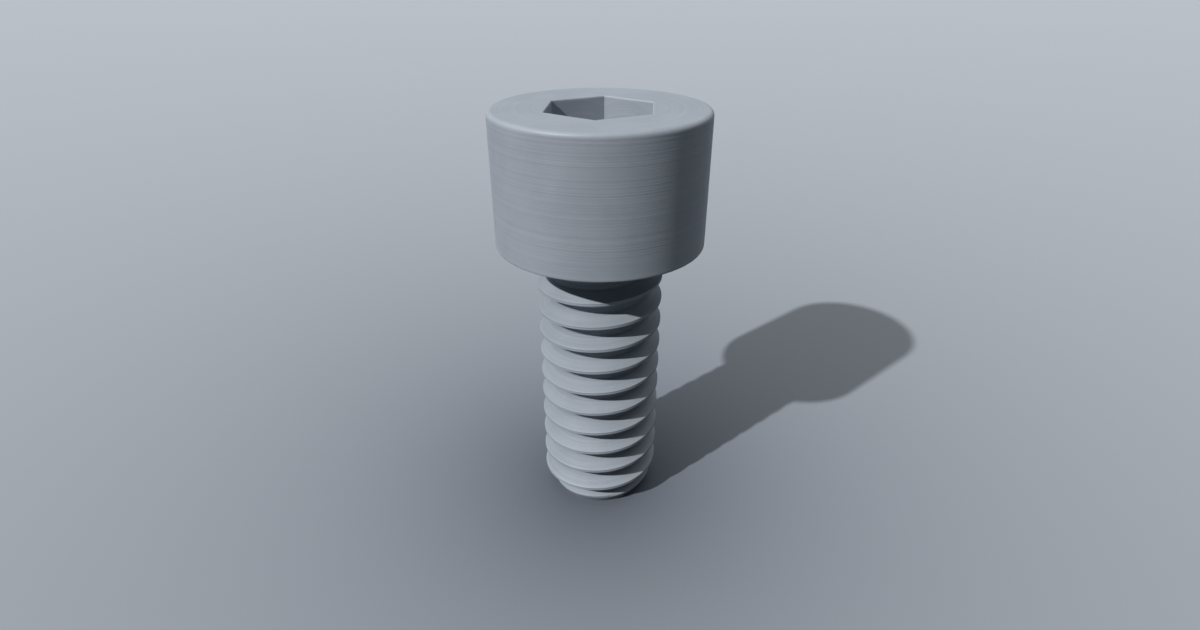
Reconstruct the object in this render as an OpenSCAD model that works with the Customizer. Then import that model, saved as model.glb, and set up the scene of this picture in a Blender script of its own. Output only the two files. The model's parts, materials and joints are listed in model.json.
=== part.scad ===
// Socket head cap screw, No. 5-40 by 5/16 inch, threaded up to the head. Sizes are in millimetres.
// It stands on the end of its shank. The end face lies on z = 0 and the screw's axis is the Z axis.

/* [Head] */
// Diameter of the cylindrical head
head_d = 5.12; // [4.4:0.01:8]
// Height of the head above its bearing face
head_h = 3.17; // [2.8:0.01:6]
// Radius of the rounded upper edge of the head
head_edge_r = 0.09; // [0.03:0.01:0.25]
// Radius of the fillet where the shank meets the bearing face
head_fillet_r = 0.12; // [0.05:0.01:0.25]

/* [Socket] */
// Width of the hexagonal socket across its flats
socket_af = 2.38; // [1.5:0.01:2.8]
// Depth of the hexagonal walls below the top of the head
socket_depth = 1.5; // [1:0.05:1.8]
// Included angle of the conical floor
socket_floor_angle = 130; // [110:1:150]
// Direction of one corner of the hexagon, from the X axis
socket_turn = 25.6; // [0:0.1:60]

/* [Shank] */
// Length of the shank, from the bearing face to the end
shank_l = 7.5; // [4:0.1:25]
// Diameter over the crests of the thread
thread_d = 3.17; // [2.9:0.01:3.8]
// Angle between the chamfer at the end and the end face
point_angle = 60; // [30:1:65]

/* [Thread] */
// Distance from one turn of the thread to the next
thread_pitch = 0.635; // [0.4:0.005:0.8]
// Direction in which the middle of the groove leaves the end face, from the X axis
thread_turn = 28; // [0:1:359]
// Distance from the bearing face to where the groove starts to grow shallow
runout_start = 0.5; // [0.4:0.05:1.5]
// Part of a turn in which the groove runs out to nothing
runout_turns = 0.5; // [0.25:0.05:0.75]

/* [Hidden] */
$fn = 96;
// Steps in one turn of the groove
thread_steps = 36;
// How far a cutting solid reaches past the surface that it cuts
past = 0.03;
total_h = shank_l + head_h;
head_r = head_d / 2;
crest_r = thread_d / 2;
// A unified thread: flanks at 60 degrees to each other, and a groove whose flat root is a quarter
// of the pitch wide, deep enough to leave a flat crest an eighth of the pitch wide
flank_angle = 30;
sharp_h = thread_pitch / 2 / tan(flank_angle);
root_flat = thread_pitch / 4;
groove_depth = sharp_h * 5 / 8;
root_r = crest_r - groove_depth;
point_h = groove_depth * tan(point_angle);
hex_corner_r = socket_af / 2 / cos(30);
floor_h = socket_af / 2 / tan(socket_floor_angle / 2);
// The groove starts below the end face and fades out under the head
groove_from = -1;
runout_from = (shank_l - runout_start) / thread_pitch;
groove_to = runout_from + runout_turns;

// Head with its rounded upper edge, and the fillet under it
module head_blank() {
    fillet_r = crest_r + head_fillet_r;
    translate([0, 0, shank_l]) rotate_extrude() union() {
        difference() {
            square([head_r, head_h]);
            translate([head_r - head_edge_r, head_h - head_edge_r]) square(head_edge_r + past);
        }
        translate([head_r - head_edge_r, head_h - head_edge_r]) circle(head_edge_r);
    }
    translate([0, 0, shank_l - head_fillet_r]) rotate_extrude() difference() {
        square([fillet_r, 2 * head_fillet_r]);
        translate([fillet_r, 0]) circle(head_fillet_r);
    }
}

// Plain shank with its chamfered end
module shank_blank() {
    cylinder(r1 = root_r, r2 = crest_r, h = point_h);
    translate([0, 0, point_h]) cylinder(r = crest_r, h = shank_l - point_h);
}

// Section of the groove, as points of radius and height, moved outwards by lift
function groove_section(lift) =
    let (outer = groove_depth + past, half = root_flat / 2, wide = half + outer * tan(flank_angle))
    [[root_r + lift, -half], [root_r + lift, half], [root_r + lift + outer, wide], [root_r + lift + outer, -wide]];

// How far the groove has been lifted out of the shank after so many turns
function groove_lift(turns) = max(0, turns - runout_from) / runout_turns * (groove_depth + past / 2);

// The helical groove of a right-hand thread, as one closed solid
module thread_groove() {
    steps = ceil((groove_to - groove_from) * thread_steps);
    span = (groove_to - groove_from) / steps;
    points = [
        for (i = [0:steps])
            let (turns = groove_from + i * span, angle = thread_turn + 360 * turns)
                for (p = groove_section(groove_lift(turns)))
                    [p.x * cos(angle), p.x * sin(angle), turns * thread_pitch + p.y]
    ];
    sides = [
        for (i = [0:steps - 1])
            for (j = [0:3])
                let (a = 4 * i + j, b = 4 * i + (j + 1) % 4)
                    each [[a, a + 4, b], [b, a + 4, b + 4]]
    ];
    polyhedron(points, concat([[0, 1, 2, 3]], sides, [[for (j = [3:-1:0]) 4 * steps + j]]));
}

// Hexagonal socket with a conical floor
module key_socket() {
    translate([0, 0, total_h - socket_depth]) {
        rotate(socket_turn) cylinder(r = hex_corner_r, h = socket_depth + past, $fn = 6);
        translate([0, 0, -floor_h]) cylinder(r1 = 0, r2 = socket_af / 2, h = floor_h);
    }
}

module cap_screw() {
    color("slategray") difference() {
        union() {
            difference() {
                shank_blank();
                thread_groove();
            }
            head_blank();
        }
        key_socket();
    }
}

cap_screw();
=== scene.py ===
# %% [markdown]
# # A socket head cap screw, dressed for its portrait
#
# The screw is one piece of steel: a cylindrical head with a hexagonal socket, and a shank with a
# right-hand thread that ends in a chamfered point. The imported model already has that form, cut in
# flat facets. It could be shown as it is, but the facets would show in every highlight. So it gets a
# finer skin in the same place: a thread whose crests and roots are softly rounded, as rolling leaves
# them, edges that catch the light, and a satin steel finish.
#
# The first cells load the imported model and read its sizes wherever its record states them, so that
# the skin fits the solid. Lengths are in metres, as everywhere in Blender, and MM is one millimetre.

# %% Load the frame
import json
import math
from types import SimpleNamespace

import bmesh
import bpy
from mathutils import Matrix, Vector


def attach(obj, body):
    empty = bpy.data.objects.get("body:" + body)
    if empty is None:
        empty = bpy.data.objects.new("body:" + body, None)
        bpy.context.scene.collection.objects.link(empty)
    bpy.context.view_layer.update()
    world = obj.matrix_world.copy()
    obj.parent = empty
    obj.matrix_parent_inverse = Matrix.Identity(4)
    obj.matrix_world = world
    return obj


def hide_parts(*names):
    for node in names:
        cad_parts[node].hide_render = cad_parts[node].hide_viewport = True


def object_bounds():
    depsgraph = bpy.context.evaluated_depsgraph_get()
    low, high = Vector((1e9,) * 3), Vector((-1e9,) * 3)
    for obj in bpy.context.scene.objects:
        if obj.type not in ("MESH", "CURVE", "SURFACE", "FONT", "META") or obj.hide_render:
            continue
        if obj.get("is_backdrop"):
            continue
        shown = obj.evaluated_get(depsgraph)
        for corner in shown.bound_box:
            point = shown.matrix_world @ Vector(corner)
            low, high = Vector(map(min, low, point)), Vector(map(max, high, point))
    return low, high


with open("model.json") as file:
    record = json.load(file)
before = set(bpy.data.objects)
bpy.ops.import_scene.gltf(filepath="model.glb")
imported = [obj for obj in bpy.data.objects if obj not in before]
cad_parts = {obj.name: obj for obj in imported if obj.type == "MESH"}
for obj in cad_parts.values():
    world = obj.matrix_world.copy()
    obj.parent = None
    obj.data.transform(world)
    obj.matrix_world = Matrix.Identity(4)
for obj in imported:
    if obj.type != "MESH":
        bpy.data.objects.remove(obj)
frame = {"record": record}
cad_low, cad_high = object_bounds()
MM = 0.001


def in_mm(*lengths):
    """Lengths in millimetres, rounded, for the prints below."""
    return [round(length / MM, 3) for length in lengths]


print("solid model, mm:", in_mm(*cad_low, *cad_high))

# %% Sizes that the record states
mounts = {mount["name"]: mount for mount in frame["record"]["mounts"]}
head_r = mounts["head_side"]["dims"]["r_mm"] * MM
crest_r = mounts["thread"]["dims"]["r_mm"] * MM
shank_l = mounts["bearing_face"]["pos_m"][2]
total_h = mounts["head_top"]["pos_m"][2]
socket_half = mounts["key_socket"]["dims"]["r_mm"] * MM
socket_depth = mounts["key_socket"]["dims"]["length_mm"] * MM
print("head radius, crest radius, shank, height, mm:", in_mm(head_r, crest_r, shank_l, total_h))

# %% [markdown]
# ## The rule of the thread
#
# A unified thread is a groove wound round the shank. Its flanks stand at 60 degrees to each other,
# so each one leans 30 degrees from the plane across the axis. The sharp V that they would make is
# sqrt(3) / 2 of the pitch deep. The groove keeps 5/8 of that, which leaves a flat crest of an eighth
# and a flat root of a quarter of the pitch. The record states only the radius. The other sizes could
# be measured off the solid's mesh, but here they are worked out from the pitch, which is exact.

# %% Sizes of the thread
pitch = 0.635 * MM
flank_slope = math.tan(math.radians(30))
groove_depth = pitch / 2 / flank_slope * 5 / 8
root_half = pitch / 8
root_r = crest_r - groove_depth
# The groove starts at the end face in this direction, in degrees from the X axis
thread_turn = 28
# It runs out under the head, from this far below the bearing face and over this part of a turn
runout_start = 0.5 * MM
runout_turns = 0.5
# By then it is lifted by its own depth and a little more, so that nothing of it is left
runout_lift = groove_depth + 0.015 * MM
# The chamfer of the point stands at 60 degrees to the end face
point_h = groove_depth * math.tan(math.radians(60))
print("groove depth, root radius, chamfer height, mm:", in_mm(groove_depth, root_r, point_h))

# %% Sizes of the head
# The photo shows the upper edge a little rounder than the solid model has it
head_edge_r = 0.11 * MM
head_fillet_r = 0.12 * MM
# One corner of the hexagon lies in this direction, in degrees from the X axis
socket_turn = 25.6
socket_floor_angle = math.radians(130)
# A broken edge round the mouth of the socket and under the head, too fine for the solid model
mouth_edge = 0.03 * MM
under_edge = 0.03 * MM
print("rounded edge, fillet, broken edges, mm:", in_mm(head_edge_r, head_fillet_r, mouth_edge, under_edge))

# %% [markdown]
# ## One small class for node maths
#
# Both the thread's shape and the steel's finish are sums over many nodes. Written node by node, they
# can't be read. This class wraps an output socket and overloads the operators, so that an expression
# on values adds its own Math nodes. A tree builder with one method makes every other node.


# %% Values that build their own Math nodes
class Value:
    """An output socket of a node tree, as a number that Python expressions can use."""

    def __init__(self, tree, socket):
        self.tree = tree
        self.socket = socket

    def math(self, operation, *others):
        return self.tree.add("ShaderNodeMath", {"operation": operation}, [self, *others])

    def __add__(self, other):
        return self.math("ADD", other)

    def __sub__(self, other):
        return self.math("SUBTRACT", other)

    def __mul__(self, other):
        return self.math("MULTIPLY", other)

    def __truediv__(self, other):
        return self.math("DIVIDE", other)

    def __radd__(self, other):
        return self + other

    def __rmul__(self, other):
        return self * other

    def __rsub__(self, other):
        return self.tree.add("ShaderNodeMath", {"operation": "SUBTRACT"}, [other, self])

    def __abs__(self):
        return self.math("ABSOLUTE")

    def lowest(self, other):
        return self.math("MINIMUM", other)

    def highest(self, other):
        return self.math("MAXIMUM", other)

    def soft_lowest(self, other, distance):
        return self.math("SMOOTH_MIN", other, distance)

    def soft_highest(self, other, distance):
        return self.math("SMOOTH_MAX", other, distance)


# %% A tree that one method fills
class Tree:
    """A node tree, and the nodes that are added to it."""

    def __init__(self, tree):
        self.nodes = tree.nodes
        self.links = tree.links

    def add(self, kind, settings=None, inputs=(), output=0):
        """Adds a node, sets it, fills its sockets by place or by name, and returns one output."""
        node = self.nodes.new(kind)
        for name, setting in (settings or {}).items():
            setattr(node, name, setting)
        pairs = inputs.items() if isinstance(inputs, dict) else enumerate(inputs)
        for key, given in pairs:
            if isinstance(given, Value):
                self.links.new(given.socket, node.inputs[key])
            else:
                node.inputs[key].default_value = given
        return Value(self, node.outputs[output]) if node.outputs else node

    def split(self, vector):
        """The three parts of a vector, each as a value."""
        node = self.add("ShaderNodeSeparateXYZ", None, [vector]).socket.node
        return [Value(self, part) for part in node.outputs]


# %% Try both on one line of maths
trial = bpy.data.node_groups.new("trial", "ShaderNodeTree")
mask = Tree(trial).add("ShaderNodeValue")
uncovered = 1 - 2 * mask
print("Math nodes that 1 - 2 * mask adds:", len(trial.nodes) - 1)
print("the last of them:", uncovered.socket.node.operation)
bpy.data.node_groups.remove(trial)

# %% [markdown]
# ## The threaded shank, grown by Geometry Nodes
#
# The thread is what holds: one long groove, rolled into the shank between two dies. A helix invites a
# curve with a swept profile and a boolean, but a boolean leaves ragged faces where the groove meets
# the chamfer. Instead a flat grid is rolled up. Its columns go round the shank, and its rows climb
# with the thread, one pitch for each turn, so that every row stays at one place of the profile and
# the crests come out crisp. A formula then says how deep each point lies:
#
# - the distance from the middle of the groove gives the depth of the V,
# - a soft minimum with the full depth rounds the root, and a soft maximum with nothing rounds the crest,
# - near the head the groove is lifted out, and near the end the chamfer's cone cuts everything down.
#
# Rows that would lie past the two ends are held at the ends, where merging by distance makes one of them.

# %% How fine the skin is
columns = 144
# Rows of points from the middle of the groove to the middle of the crest, and the part of the pitch
# that they cover: root, its corner, flank, edge of the crest, crest
row_bands = ((2, 0.1), (3, 0.05), (3, 0.27), (6, 0.036), (2, 0.044))
rows_per_turn = 2 * sum(rows for rows, share in row_bands)
# How gently the root, the crest and the edge of the chamfer are rounded
root_softness = 0.06 * MM
crest_softness = 0.014 * MM
point_softness = 0.015 * MM
# Points closer together than this become one
weld = 0.0001 * MM
# The threaded sleeve ends where the fillet under the head begins
sleeve_top = shank_l - head_fillet_r
print("points in one turn of the thread:", columns * rows_per_turn)


# %% A tree with named inputs
def tree_with_inputs(name, sizes):
    """A geometry tree with an input for each size and one for the steel, and a value for each of them."""
    tree = bpy.data.node_groups.new(name, "GeometryNodeTree")
    tree.interface.new_socket("Geometry", in_out="INPUT", socket_type="NodeSocketGeometry")
    for label, size in sizes.items():
        socket = tree.interface.new_socket(label, in_out="INPUT", socket_type="NodeSocketFloat")
        socket.default_value = size
    tree.interface.new_socket("Steel", in_out="INPUT", socket_type="NodeSocketMaterial")
    tree.interface.new_socket("Geometry", in_out="OUTPUT", socket_type="NodeSocketGeometry")
    nodes = Tree(tree)
    entry = nodes.add("NodeGroupInput").socket.node
    return tree, nodes, {label: Value(nodes, entry.outputs[label]) for label in [*sizes, "Steel"]}


# %% Rows that crowd together where the profile bends
def crowded_rows(nodes, even_turn):
    """The nearest groove, counted in turns, and how far a row lies from its middle, in pitches."""
    groove = even_turn.math("ROUND")
    row = abs(even_turn - groove) * rows_per_turn
    rows_before = 0
    off_middle = 0.0
    for rows, share in row_bands:
        inputs = {"Value": row, "From Min": rows_before, "From Max": rows_before + rows, "To Max": share}
        off_middle = nodes.add("ShaderNodeMapRange", None, inputs) + off_middle
        rows_before += rows
    return groove, off_middle


groove_to_crest = sum(share for rows, share in row_bands)
print("pitches from the middle of a groove to the middle of a crest:", round(groove_to_crest, 3))


# %% How deep the groove is cut
def depth_of_cut(size, off_middle, groove_height, height):
    """How far below the crests the groove lies. It is lifted out of the steel near the head."""
    half_width = size["Root half width"] + size["Groove depth"] * flank_slope
    vee = (half_width - off_middle * size["Pitch"]) / flank_slope
    cut = vee.soft_lowest(size["Groove depth"], root_softness)
    past_start = (groove_height - size["Run-out from"]).highest(0.0)
    lift = past_start / size["Run-out height"] * size["Run-out lift"]
    crest_room = (size["Top"] - height).lowest(crest_softness)
    return (cut - lift).soft_highest(0.0, crest_room)


def radius_of_chamfer(size, height):
    """The cone that the chamfer leaves: the root's radius at the end face, and wider above it."""
    root = size["Crest radius"] - size["Groove depth"]
    return root + height / size["Point height"] * size["Groove depth"]


print("half width of the groove at the crests, mm:", in_mm(root_half + groove_depth * flank_slope))

# %% Where each point of the grid goes
# Turns are counted from the end face. The grid starts below it, because a column at the far end of
# a row lies a whole turn higher than the first one
first_turn = -2
turns = math.ceil(sleeve_top / pitch) + 1 - first_turn


def place_on_shank(nodes, size):
    """The place of each point of a grid that is 1 wide, 1 long and has its middle at the origin."""
    across, along, _ = nodes.split(nodes.add("GeometryNodeInputPosition"))
    column = across + 0.5
    even_turn = (along + 0.5) * turns + first_turn
    groove, off_middle = crowded_rows(nodes, even_turn)
    turn = groove + off_middle * (even_turn - groove).math("SIGN")

    # The grid starts at a corner of the socket, and the groove starts at its own place
    start = column + (socket_turn - thread_turn) / 360
    height = ((turn + start) * size["Pitch"]).highest(0.0).lowest(size["Top"])
    cut = depth_of_cut(size, off_middle, (groove + start) * size["Pitch"], height)
    softness = height.lowest(point_softness)
    radius = (size["Crest radius"] - cut).soft_lowest(radius_of_chamfer(size, height), softness)
    angle = column * (2 * math.pi) + math.radians(socket_turn)
    flat_place = [radius * angle.math("COSINE"), radius * angle.math("SINE")]
    return nodes.add("ShaderNodeCombineXYZ", None, [*flat_place, height])


print("turns of the grid:", turns, "rows:", turns * rows_per_turn + 1)

# %% The whole tree
thread_sizes = {
    "Crest radius": crest_r,
    "Groove depth": groove_depth,
    "Root half width": root_half,
    "Pitch": pitch,
    "Top": sleeve_top,
    "Run-out from": shank_l - runout_start,
    "Run-out height": runout_turns * pitch,
    "Run-out lift": runout_lift,
    "Point height": point_h,
}


def thread_tree():
    tree, nodes, size = tree_with_inputs("threaded_shank", thread_sizes)
    grid = nodes.add("GeometryNodeMeshGrid", None, [1.0, 1.0, columns + 1, turns * rows_per_turn + 1])
    moves = {"Geometry": grid, "Position": place_on_shank(nodes, size)}
    rolled = nodes.add("GeometryNodeSetPosition", None, moves)
    closed = nodes.add("GeometryNodeMergeByDistance", None, {"Geometry": rolled, "Distance": weld})
    smooth = nodes.add("GeometryNodeSetShadeSmooth", None, {"Geometry": closed, "Shade Smooth": True})
    real = nodes.add("GeometryNodeRealizeInstances", None, {"Geometry": smooth})
    dressed = nodes.add("GeometryNodeSetMaterial", None, {"Geometry": real, "Material": size["Steel"]})
    nodes.add("NodeGroupOutput", None, [dressed])
    return tree


shank_tree = thread_tree()
print("nodes in the shank's tree:", len(shank_tree.nodes))


# %% Roll up the shank and take the result as a plain mesh
def grown_mesh(tree, material):
    """The mesh that the tree makes. The object that grows it goes, and its modifier with it."""
    seed = bpy.data.objects.new("seed", bpy.data.meshes.new("seed"))
    bpy.context.scene.collection.objects.link(seed)
    modifier = seed.modifiers.new("grow", "NODES")
    modifier.node_group = tree
    for socket in tree.interface.items_tree:
        if socket.in_out == "INPUT" and socket.socket_type == "NodeSocketMaterial":
            modifier[socket.identifier] = material
        elif socket.in_out == "INPUT" and socket.socket_type == "NodeSocketFloat":
            modifier[socket.identifier] = socket.default_value
    seed.update_tag()
    depsgraph = bpy.context.evaluated_depsgraph_get()
    mesh = bpy.data.meshes.new_from_object(seed.evaluated_get(depsgraph))
    bpy.data.objects.remove(seed)
    return mesh


steel = bpy.data.materials.new("satin_steel")
shank_mesh = grown_mesh(shank_tree, steel)
print("shank:", len(shank_mesh.vertices), "points,", len(shank_mesh.polygons), "faces")

# %% [markdown]
# ## Head, socket and end face, turned on a lathe
#
# The real head is forged and turned, and its socket is pressed in with a hexagonal punch over a
# drilled cone. These are surfaces of revolution, apart from the hexagon, whose radius changes round
# the axis. A cylinder with a bevel and a boolean would do, but its points wouldn't meet those of the
# shank. So each surface is a stack of rings with the same columns as the shank. Each corner of the
# hexagon falls on a column, because 144 is a multiple of six. Extra rings stand close to the edges,
# so that the wide flat faces keep their own flat shading.


# %% Rings
def round_ring(radius, height):
    return [(radius, height)] * columns


def hexagon_ring(half_width, height):
    """A ring at the walls of a hexagon that is twice half_width across its flats."""
    ring = []
    for i in range(columns):
        # Degrees from the middle of the wall, which lies 30 from the corner at either end
        from_middle = (i * 360 / columns) % 60 - 30
        ring.append((half_width / math.cos(math.radians(from_middle)), height))
    return ring


def arc(centre_r, centre_h, radius, start, end, steps):
    """Points of a quarter round, as radius and height, from one angle to another in degrees."""
    points = []
    for i in range(steps + 1):
        angle = math.radians(start + (end - start) * i / steps)
        points.append((centre_r + radius * math.cos(angle), centre_h + radius * math.sin(angle)))
    return points


socket_corner = hexagon_ring(socket_half, total_h)[0][0]
print("corner of the socket, mm from the axis:", in_mm(socket_corner))

# %% The outside of the head, from the shank up
# How close an extra ring stands to an edge, rows up the side, and steps round each quarter
beside = 0.02 * MM
side_rows = 6
edge_steps = 8
under_edge_steps = 4


def outer_profile():
    """Fillet, bearing face, side and rounded edge, as radius and height."""
    fillet_middle = crest_r + head_fillet_r
    points = arc(fillet_middle, sleeve_top, head_fillet_r, 180, 90, edge_steps)
    points += [(fillet_middle + beside, shank_l), (head_r - under_edge - beside, shank_l)]
    points += arc(head_r - under_edge, shank_l + under_edge, under_edge, -90, 0, under_edge_steps)
    side_from = shank_l + under_edge + beside
    side_to = total_h - head_edge_r - beside
    points += [(head_r, side_from + (side_to - side_from) * i / side_rows) for i in range(side_rows + 1)]
    points += arc(head_r - head_edge_r, total_h - head_edge_r, head_edge_r, 0, 90, edge_steps)
    points.append((head_r - head_edge_r - beside, total_h))
    return points


print("points on the head's profile:", len(outer_profile()))

# %% The socket, from its mouth to its conical floor
floor_h = total_h - socket_depth
floor_drop = socket_half / math.tan(socket_floor_angle / 2)
# The flat top ends in a round ring that stands this far off the socket's corners
mouth_room = 5 * mouth_edge
mouth_steps = 3
# Rings on the cone, as shares of its width
floor_shares = (1, 0.95, 0.6, 0.25, 0.03)


def socket_rings():
    rings = [round_ring(socket_corner + mouth_room, total_h)]
    rings.append(hexagon_ring(socket_half + mouth_edge + beside / 2, total_h))
    mouth = arc(socket_half + mouth_edge, total_h - mouth_edge, mouth_edge, 90, 180, mouth_steps)
    rings += [hexagon_ring(half_width, height) for half_width, height in mouth]
    for height in (total_h - mouth_edge - beside, (total_h + floor_h) / 2, floor_h + beside, floor_h):
        rings.append(hexagon_ring(socket_half, height))
    for share in floor_shares:
        rings.append(round_ring(socket_half * share, floor_h - floor_drop * (1 - share)))
    return rings


print("tip of the socket's floor, mm above the end face:", in_mm(floor_h - floor_drop))


# %% Turn the rings into faces
def lathe(bm, rings, tip_first=None, tip_last=None):
    """Faces between the rings, and a fan to a tip on the axis at either end."""
    layers = []
    for ring in rings:
        layer = []
        for i, (radius, height) in enumerate(ring):
            angle = math.radians(socket_turn + i * 360 / columns)
            layer.append(bm.verts.new((radius * math.cos(angle), radius * math.sin(angle), height)))
        layers.append(layer)
    neighbours = [(i, (i + 1) % columns) for i in range(columns)]
    for low, high in zip(layers, layers[1:]):
        for i, j in neighbours:
            bm.faces.new((low[i], low[j], high[j], high[i]))
    if tip_first is not None:
        tip = bm.verts.new((0, 0, tip_first))
        for i, j in neighbours:
            bm.faces.new((tip, layers[0][j], layers[0][i]))
    if tip_last is not None:
        tip = bm.verts.new((0, 0, tip_last))
        for i, j in neighbours:
            bm.faces.new((tip, layers[-1][i], layers[-1][j]))


# %% [markdown]
# ### One closed piece
#
# A real screw is one lump of steel, and a skin in three parts would show seams where they meet. They
# could be joined as they are, but then each would keep its own points along the seam. The head's
# first ring and the end face's last ring lie exactly on the ends of the shank, so merging by distance
# welds all three. No edge may be left open then, and a volume above zero says that the faces point
# outwards. Shading is smooth, except across edges that bend by more than 40 degrees, such as the
# corners of the socket.

# %% Weld the shank and the turned faces
# Rings on the end face, as shares of its width
end_shares = (0.03, 0.3, 0.65, 0.97, 1)


def screw_mesh():
    bm = bmesh.new()
    bm.from_mesh(shank_mesh)
    head = [round_ring(radius, height) for radius, height in outer_profile()]
    lathe(bm, head + socket_rings(), tip_last=floor_h - floor_drop)
    lathe(bm, [round_ring(root_r * share, 0.0) for share in end_shares], tip_first=0.0)
    bmesh.ops.remove_doubles(bm, verts=bm.verts, dist=weld)
    bmesh.ops.dissolve_degenerate(bm, edges=bm.edges, dist=weld)
    print("open edges:", sum(1 for edge in bm.edges if len(edge.link_faces) != 2))
    print("volume, mm3:", round(bm.calc_volume(signed=True) / MM**3, 3))
    mesh = bpy.data.meshes.new("cap_screw_skin")
    bm.to_mesh(mesh)
    bm.free()
    return mesh


skin = screw_mesh()

# %% Smooth faces and sharp edges
skin.polygons.foreach_set("use_smooth", [True] * len(skin.polygons))
skin.set_sharp_from_angle(angle=math.radians(40))
skin.materials.clear()
skin.materials.append(steel)
screw = bpy.data.objects.new("screw_skin", skin)
bpy.context.scene.collection.objects.link(screw)
print("triangles:", sum(len(face.vertices) - 2 for face in skin.polygons))

# %% [markdown]
# ## Satin steel
#
# The screw is bare steel with a fine satin finish: bluish grey, neither polished nor painted. A
# single grey would read as plastic, and a picture of steel would need an image and a way to wrap it.
# So the finish is built from what made it, as sums of noise and masks. All of it is worked out from
# Object coordinates, in millimetres, so it stays put on the screw from every side.
#
# The steel's own reflection is kept low and wide. A mirror-like metal would show the pale studio on
# every side, and the satin one on the photo keeps a dark side away from the lamp.

# %% Colours and shine of the steel
steel_colour = (0.43, 0.47, 0.52, 1)
dull_colour = (0.365, 0.405, 0.455, 1)
rubbed_colour = (0.5, 0.54, 0.59, 1)
# Dark colour of oil in the hollows, which also serves as painted shade there
oil_and_shade_colour = (0.2, 0.22, 0.25, 1)
steel_metallic = 0.12
steel_roughness = 0.56
steel_specular = 0.22
print("light that the steel gives back:", round(sum(steel_colour[:3]) / 3, 2))

# %% Helpers for the finish
# A Mix node has sockets of each kind under the same names, so those for colours are taken by place
COLOUR_A, COLOUR_B, COLOUR_OUT = 6, 7, 2
# How strong each finer layer of a noise is beside the one before it
noise_roughness = 0.55


def cleared(block):
    """The empty node tree of a material or a world."""
    block.use_nodes = True
    block.node_tree.nodes.clear()
    return Tree(block.node_tree)


def ramp(value, start, end):
    """0 before start, 1 after end, and a soft step between them."""
    inputs = {"Value": value, "From Min": start, "From Max": end}
    return value.tree.add("ShaderNodeMapRange", {"interpolation_type": "SMOOTHSTEP"}, inputs)


def near(distance, reach):
    """1 up to the first distance of reach, 0 past the second, and a soft step between them."""
    return 1 - ramp(distance, *reach)


def noise(tree, scale, layers, where=None, along=None):
    """Cloudy noise from 0 to 1, in space or along a single line."""
    inputs = {"Scale": scale, "Detail": layers, "Roughness": noise_roughness}
    if along is not None:
        return tree.add("ShaderNodeTexNoise", {"noise_dimensions": "1D"}, {**inputs, "W": along})
    return tree.add("ShaderNodeTexNoise", None, {**inputs, "Vector": where})


def mix_colour(tree, factor, first, second):
    inputs = {"Factor": factor, COLOUR_A: first, COLOUR_B: second}
    return tree.add("ShaderNodeMix", {"data_type": "RGBA"}, inputs, COLOUR_OUT)


# %% [markdown]
# ### Where a point lies on the screw
#
# Every mark of making or use follows the form: turning lines go round the head, rolled lines follow
# the thread, and wear sits on the edges. A UV map could say where that is, but a thread is awkward to
# unwrap. So the material works it out. The height less the part of a turn, counted in pitches, gives
# the place on the thread's profile, from 0 in the middle of one groove to 1 in the next. The largest
# distance along three directions gives the distance to the socket's six walls.

# %% Sizes for the finish, in millimetres
screw_mm = SimpleNamespace(
    pitch=pitch / MM,
    root_r=root_r / MM,
    crest_r=crest_r / MM,
    head_r=head_r / MM,
    socket_half=socket_half / MM,
    sleeve_top=sleeve_top / MM,
    bearing_face=shank_l / MM,
    socket_floor=floor_h / MM,
    top=total_h / MM,
)
# The thread's own marks fade out just below the fillet
thread_fade = (-0.02, 0.0)
# Place of the crest's middle on the thread's profile
crest_middle = 0.5
# Directions of three of the socket's walls, in degrees from a corner. The others lie opposite
wall_sides = (30, 90, 150)
print("turns of thread from the end face to the head:", round(screw_mm.bearing_face / screw_mm.pitch, 1))


# %% Radius, place on the thread's profile and distance to the socket's walls
def place_on_screw(tree):
    metres = tree.add("ShaderNodeTexCoord", output="Object")
    point = tree.add("ShaderNodeVectorMath", {"operation": "SCALE"}, {"Vector": metres, "Scale": 1 / MM})
    x, y, z = tree.split(point)
    turn = y.math("ARCTAN2", x) / (2 * math.pi)
    wall = 0.0
    for side in wall_sides:
        facing = math.radians(socket_turn + side)
        wall = abs(x * math.cos(facing) + y * math.sin(facing)).highest(wall)
    return SimpleNamespace(
        point=point,
        z=z,
        radius=(x * x + y * y).math("SQRT"),
        profile=(z / screw_mm.pitch - turn + thread_turn / 360).math("FRACT"),
        on_thread=near(z - screw_mm.sleeve_top, thread_fade),
        wall=wall,
    )


# %% [markdown]
# ### Lines, grain and clouds
#
# The lathe leaves fine lines round the head, and the dies leave them along the thread. Lines could be
# made by stretching a noise, but a stretched noise still breaks up. A noise with one dimension never
# does, and it makes such lines when it is fed with the distance across them: radius and height on the
# head, and the way up the flank on the thread. Tumbling adds a faint grain, and handling adds cloudy
# patches of more and less shine.

# %% Noise across the lines
# Marks in one millimetre, and finer layers on top of them, for each noise
coarse_scale, coarse_layers = 9.0, 2.0
fine_scale, fine_layers = 30.0, 3.0
grain_scale, grain_layers = 22.0, 3.0
cloud_scale, cloud_layers = 0.9, 4.0
# How fast the lines on the thread change from turn to turn, so that no two turns are alike
line_drift = 0.3


def add_noises(tree, at):
    across_head = at.z + at.radius
    up_flank = at.radius - abs(at.profile - crest_middle) * screw_mm.pitch + at.z * line_drift
    across = at.on_thread * (up_flank - across_head) + across_head
    at.coarse_lines = noise(tree, coarse_scale, coarse_layers, along=across)
    at.fine_lines = noise(tree, fine_scale, fine_layers, along=across)
    at.grain = noise(tree, grain_scale, grain_layers, where=at.point)
    at.clouds = noise(tree, cloud_scale, cloud_layers, where=at.point)


print("fine lines up the side of the head:", round((screw_mm.top - screw_mm.bearing_face) * fine_scale))
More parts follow.
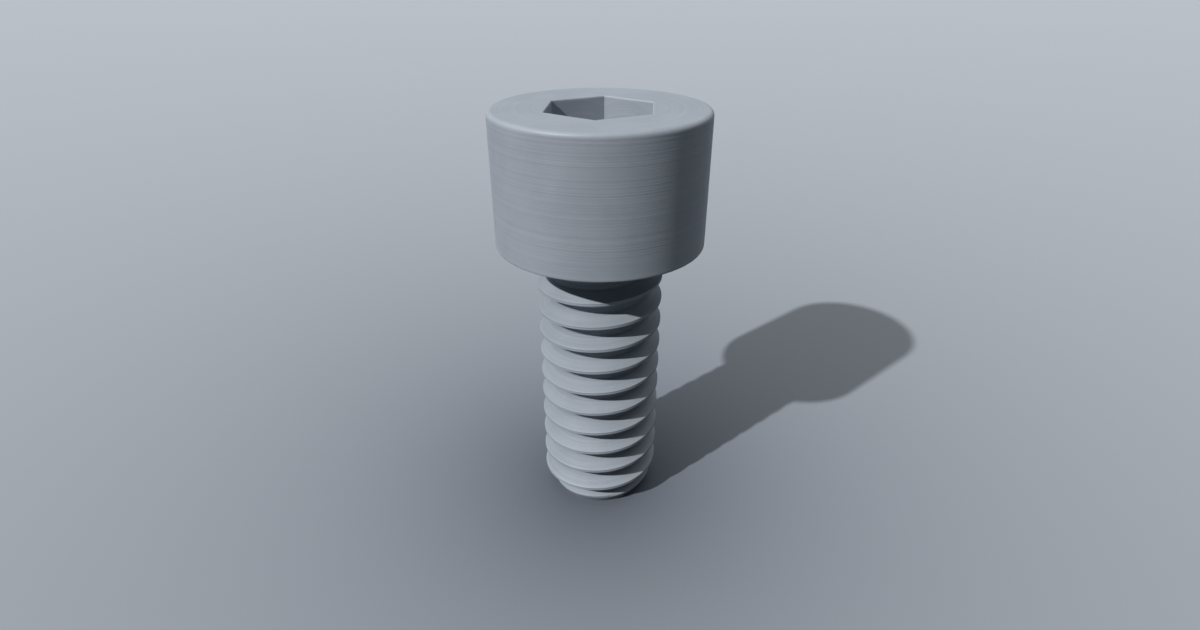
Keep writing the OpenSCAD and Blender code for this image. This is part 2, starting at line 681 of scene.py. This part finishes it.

# %% [markdown]
# ### Wear, oil and painted shade
#
# Handling and keys rub the outer edges a little brighter: the rims of the head, the mouth of the
# socket and, least of all, the crests of the thread. Oil stays where nothing rubs, in the roots of
# the thread and at the bottom of the socket, and darkens them; this darkening of the hollows is
# partly painted shade. Both are masks from 0 to 1, made of soft steps on the distances above. A wear
# map painted by hand would look the same, but would need an image.

# %% Wear on the edges
# Distances from an edge, in millimetres, at which its wear begins to fade and has gone
rim_wear = (0.02, 0.13)
mouth_wear = (0.02, 0.08)
mouth_wear_below = (0.0, 0.08)
crest_wear = (0.004, 0.05)
rim_strength, mouth_strength, crest_strength = 0.5, 0.6, 0.3
# Handling is patchy: the part of the wear that is there everywhere, and what the clouds add to it
everywhere, in_patches = 0.35, 0.6


def rubbed_bright(at):
    head_middle = (screw_mm.bearing_face + screw_mm.top) / 2
    head_half = (screw_mm.top - screw_mm.bearing_face) / 2
    to_rim = head_half - abs(at.z - head_middle) + screw_mm.head_r - at.radius
    rim = near(to_rim, rim_wear) * (1 - at.on_thread)
    to_wall = abs(at.wall - screw_mm.socket_half)
    mouth = near(to_wall, mouth_wear) * near(screw_mm.top - at.z, mouth_wear_below)
    crest = near(screw_mm.crest_r - at.radius, crest_wear) * at.on_thread
    worn = rim * rim_strength + mouth * mouth_strength + crest * crest_strength
    return (worn * (everywhere + at.clouds * in_patches)).lowest(1.0)


print("widest wear, in parts of the head's radius:", round(max(rim_wear) / screw_mm.head_r, 3))

# %% Oil and painted shade in the roots and in the socket
# Distances in millimetres: from the root, past the socket's walls and up from its floor
root_oil_and_shade = (0.02, 0.1)
past_walls = (0.01, 0.03)
socket_oil_and_shade = (0.0, 1.1)
# The end of the shank is wiped clean up to the first height, and has its oil and painted shade from the
# second on
wiped_end = (0.05, 0.5)


# Oil in the roots and at the bottom of the socket: the mask darkens these hollows partly as oil and partly
# as painted shade
def oil_and_painted_shade(at):
    roots = near(at.radius - screw_mm.root_r, root_oil_and_shade) * at.on_thread * ramp(at.z, *wiped_end)
    inside = near(at.wall - screw_mm.socket_half, past_walls) * (1 - at.on_thread)
    bottom = inside * near(at.z - screw_mm.socket_floor, socket_oil_and_shade)
    return (roots + bottom).lowest(1.0)


# How far up the groove the oil and its painted shade reach
oil_and_shade_height = max(root_oil_and_shade) * MM / groove_depth
print("part of the groove's depth that the oil reaches:", round(oil_and_shade_height, 2))

# %% [markdown]
# ### The relief of the surface
#
# The lines and the grain are also heights, a few thousandths of a millimetre, which a Bump node turns
# into tilted normals. Rolling pushes steel up from both flanks, and where it meets on the crest it
# leaves a fine crease. All this could be in the mesh, but it is so small that it would cost millions
# of faces.

# %% Heights, in metres
coarse_height = 0.006 * MM
fine_height = 0.004 * MM
grain_height = 0.002 * MM
crease_depth = 0.005 * MM
# Distances from the middle of the crest, in pitches, at which the crease begins to rise and ends
crease_reach = (0.003, 0.018)


def relief(at):
    lines = at.fine_lines * fine_height + at.coarse_lines * coarse_height
    crease = near(abs(at.profile - crest_middle), crease_reach) * at.on_thread
    return lines + at.grain * grain_height - crease * crease_depth


print("highest point of the relief, mm:", in_mm(coarse_height + fine_height + grain_height))

# %% [markdown]
# ### Colour and roughness
#
# The lines and the clouds shift the steel between a duller and a brighter grey. Rubbed edges are
# paler and a little smoother, and dried oil makes the roots and the socket's bottom darker and duller;
# the darkening there is partly painted shade. Each of these could be a shader of its own, mixed over
# the last one. One shader with mixed colours and added roughness looks nearly the same, renders
# faster, and can be baked for the export.

# %% Colour
# The coarse lines' share beside the fine ones, and the lines' share beside the clouds
coarse_share = 0.6
line_share = 0.5
# The values between which lines and clouds go from dull to bright
line_contrast = (0.36, 0.64)
cloud_contrast = (0.35, 0.68)
# How far full wear, and full oil with its painted shade, pull the colour towards their own
rubbed_tint, oil_and_shade_tint = 0.6, 0.4


def colour_of_steel(tree, at, rubbed, oil_and_shade):
    lines = ramp(at.coarse_lines * coarse_share + at.fine_lines * (1 - coarse_share), *line_contrast)
    bright = ramp(at.clouds, *cloud_contrast) * (1 - line_share) + lines * line_share
    colour = mix_colour(tree, bright, dull_colour, steel_colour)
    colour = mix_colour(tree, rubbed * rubbed_tint, colour, rubbed_colour)
    # Oil and painted shade darken the roots and the socket's bottom
    return mix_colour(tree, oil_and_shade * oil_and_shade_tint, colour, oil_and_shade_colour)


print("dull steel beside bright steel:", round(sum(dull_colour[:3]) / sum(steel_colour[:3]), 2))

# %% Roughness
noise_middle = 0.5
# What the full spread of the clouds and of the lines adds, and what wear takes away and oil adds
cloud_roughness, line_roughness = 0.16, 0.12
rubbed_smoothness, oily_roughness = 0.04, 0.1


def roughness_of_steel(at, rubbed, oil_and_shade):
    clouds = (at.clouds - noise_middle) * cloud_roughness
    lines = (at.fine_lines - noise_middle) * line_roughness
    return steel_roughness + clouds + lines - rubbed * rubbed_smoothness + oil_and_shade * oily_roughness


most_noise = (cloud_roughness + line_roughness) * noise_middle
print("lowest roughness:", round(steel_roughness - most_noise - rubbed_smoothness, 2))
print("highest roughness:", round(steel_roughness + most_noise + oily_roughness, 2))

# %% Put the finish together
bump_strength = 0.6


def satin_steel(material):
    tree = cleared(material)
    at = place_on_screw(tree)
    add_noises(tree, at)
    rubbed = rubbed_bright(at)
    oil_and_shade = oil_and_painted_shade(at)
    raised = {"Strength": bump_strength, "Distance": 1.0, "Height": relief(at)}
    inputs = {
        "Base Color": colour_of_steel(tree, at, rubbed, oil_and_shade),
        "Metallic": steel_metallic,
        "Roughness": roughness_of_steel(at, rubbed, oil_and_shade),
        "Specular IOR Level": steel_specular,
        "Normal": tree.add("ShaderNodeBump", None, raised),
    }
    shader = tree.add("ShaderNodeBsdfPrincipled", None, inputs)
    tree.add("ShaderNodeOutputMaterial", None, {"Surface": shader})


satin_steel(steel)
print("nodes in the steel:", len(steel.node_tree.nodes))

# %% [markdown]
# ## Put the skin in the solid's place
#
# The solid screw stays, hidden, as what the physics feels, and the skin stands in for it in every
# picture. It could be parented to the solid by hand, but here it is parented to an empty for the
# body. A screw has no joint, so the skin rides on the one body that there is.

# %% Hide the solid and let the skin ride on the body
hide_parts("cap_screw")
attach(screw, "root")
print("skin, mm:", in_mm(*screw.dimensions))

# %% [markdown]
# ## A plain pale floor
#
# The screw stands alone on plain ground, paler towards the horizon and a little darker close by, where
# the darker colour is painted shade round the screw's foot. A curved studio backdrop would show its
# bend from the sides, so the floor is one large flat square that melts into a backdrop of the same
# tone. Its colour depends only on the distance from the screw's axis, and that looks the same from
# every side. A pale floor would also throw light up under the head and wash out the thread. So light
# that bounces meets a dark colour, and only rays from the eye, mirrors and glass see the pale one. The
# shadow falls on it as on any floor.

# %% Colours of the floor
far_colour = (0.55, 0.584, 0.628, 1)
# Darker colour at the screw's axis: painted shade round its foot
painted_shade_near_colour = (0.11, 0.128, 0.16, 1)
bounce_colour = (0.045, 0.053, 0.066, 1)
# Distance from the axis at which the floor is halfway between its two colours
halfway = 10 * MM
floor_half = 400 * head_r
print("share of the far colour at the floor's edge:", round(floor_half / (floor_half + halfway), 3))


# %% Pale to the eye, dark to bounced light
def seen_directly(tree):
    """1 for rays from the eye, in mirrors and through glass, and 0 for light that bounces."""
    names = ("Is Camera Ray", "Is Glossy Ray", "Is Transmission Ray")
    eye, mirrored, through = (tree.add("ShaderNodeLightPath", output=name) for name in names)
    return eye.highest(mirrored).highest(through)


def pale_ground(material):
    tree = cleared(material)
    metres = tree.add("ShaderNodeTexCoord", output="Object")
    away = tree.add("ShaderNodeVectorMath", {"operation": "LENGTH"}, [metres], "Value")
    # The floor grows darker towards the screw: painted shade
    pale = mix_colour(tree, away / (away + halfway), painted_shade_near_colour, far_colour)
    colour = mix_colour(tree, seen_directly(tree), bounce_colour, pale)
    matt = {"Base Color": colour, "Roughness": 1.0, "Specular IOR Level": 0.0}
    shader = tree.add("ShaderNodeBsdfPrincipled", None, matt)
    tree.add("ShaderNodeOutputMaterial", None, {"Surface": shader})


# %% The floor
def pale_floor():
    mesh = bpy.data.meshes.new("floor")
    bm = bmesh.new()
    square = ((-1, -1), (1, -1), (1, 1), (-1, 1))
    bm.faces.new([bm.verts.new((x * floor_half, y * floor_half, 0)) for x, y in square])
    bm.to_mesh(mesh)
    bm.free()
    mesh.materials.append(bpy.data.materials.new("pale_ground"))
    pale_ground(mesh.materials[0])
    floor = bpy.data.objects.new("floor", mesh)
    bpy.context.scene.collection.objects.link(floor)
    floor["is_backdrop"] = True
    return floor


print("floor, metres across:", round(pale_floor().dimensions.x, 2))

# %% [markdown]
# ## Light
#
# The shadow in the photo gives the main light away: its direction says that the lamp stands in front on
# the left, and its length that it stands 38.5 degrees high. A sun lamp has such parallel light, and a
# small angle keeps its shadow crisp. Lamps alone would leave the rest black. The world adds what a studio
# has, a soft ceiling and a dim wall behind, painted by direction: a power of the upward part of the
# direction is bright only overhead, which lights the top of the head and the upper flanks of the
# thread and leaves the side away from the lamp dark. What the eye and the steel see is the backdrop.

# %% The main light
# Direction towards the lamp from the X axis, its height and how wide it looks, all in degrees
sun_azimuth = 219.7
sun_elevation = 38.5
sun_width = 1.2
sun_strength = 2.7


def key_light():
    lamp = bpy.data.lights.new("key", "SUN")
    lamp.energy = sun_strength
    lamp.angle = math.radians(sun_width)
    key = bpy.data.objects.new("key", lamp)
    bpy.context.scene.collection.objects.link(key)
    key.rotation_euler = (math.radians(90 - sun_elevation), 0, math.radians(sun_azimuth + 90))


key_light()
print("length of the shadow, mm:", in_mm(total_h / math.tan(math.radians(sun_elevation))))

# %% The studio around it
backdrop_colour = (0.506, 0.546, 0.591, 1)
ceiling_colour = (1.0, 1.0, 1.0, 1)
wall_colour = (0.82, 0.95, 1.15, 1)
ceiling_strength, ceiling_narrowness = 1.85, 10.0
wall_strength, wall_narrowness = 1.0, 3.0
# The least light, which comes from every direction
least_strength = 0.005


def studio_air(world):
    """Soft light from above and behind, and a pale backdrop that lights nothing."""
    tree = cleared(world)
    _, behind, up = tree.split(tree.add("ShaderNodeTexCoord", output="Generated"))
    ceiling = up.highest(0.0).math("POWER", ceiling_narrowness) * ceiling_strength
    wall = behind.highest(0.0).math("POWER", wall_narrowness) * wall_strength
    glow = mix_colour(tree, up.highest(0.0), wall_colour, ceiling_colour)
    soft_light = {"Color": glow, "Strength": ceiling + wall + least_strength}
    air = tree.add("ShaderNodeBackground", None, soft_light)
    backdrop = tree.add("ShaderNodeBackground", None, {"Color": backdrop_colour, "Strength": 1.0})
    both = tree.add("ShaderNodeMixShader", None, [seen_directly(tree), air, backdrop])
    tree.add("ShaderNodeOutputWorld", None, {"Surface": both})


bpy.context.scene.world = bpy.data.worlds.new("studio")
studio_air(bpy.context.scene.world)
print("nodes in the studio's air:", len(bpy.context.scene.world.node_tree.nodes))

# %% [markdown]
# ## Camera
#
# The camera stands where the photo was taken from. It could be placed by eye, but the head's two rims
# are circles of one known radius, and only a few cameras draw them as the photo's two ellipses. The
# turns of the thread and the end of the shank settle which. With it, all of these lie within about one
# and a half pixels of their place in the photo. The place is given in head radii from the middle of the
# head's top, and the lens as a focal length in the photo's own pixels.

# %% The camera
photo_width_px = 1200
focal_px = 663.6
camera_back = 6.008 * head_r
camera_above = 1.162 * head_r
# Degrees below the horizon
camera_tilt = 28.37
sensor_width_mm = 36
# What is nearer or farther than this isn't drawn
nearest_seen, farthest_seen = 0.1 * MM, 10


def camera():
    eye = bpy.data.cameras.new("camera")
    eye.sensor_width = sensor_width_mm
    eye.lens = sensor_width_mm * focal_px / photo_width_px
    eye.clip_start = nearest_seen
    eye.clip_end = farthest_seen
    holder = bpy.data.objects.new("camera", eye)
    bpy.context.scene.collection.objects.link(holder)
    holder.location = (0, -camera_back, total_h + camera_above)
    holder.rotation_euler = (math.radians(90 - camera_tilt), 0, 0)
    return holder


bpy.context.scene.camera = camera()
bpy.context.scene.view_settings.view_transform = "Standard"
print("camera, mm:", in_mm(*bpy.context.scene.camera.location))

# %% [markdown]
# ## The skin's box
#
# The solid is what the physics feels, so the skin has to stay in the solid's box. The two boxes could
# be compared by eye in a picture, but a few thousandths of a millimetre don't show there. So both are
# printed as plain numbers, the solid's when it is loaded and the skin's here.

# %% Print the finished screw's box
skin_low, skin_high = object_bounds()
print("finished screw, mm:", in_mm(*skin_low, *skin_high))
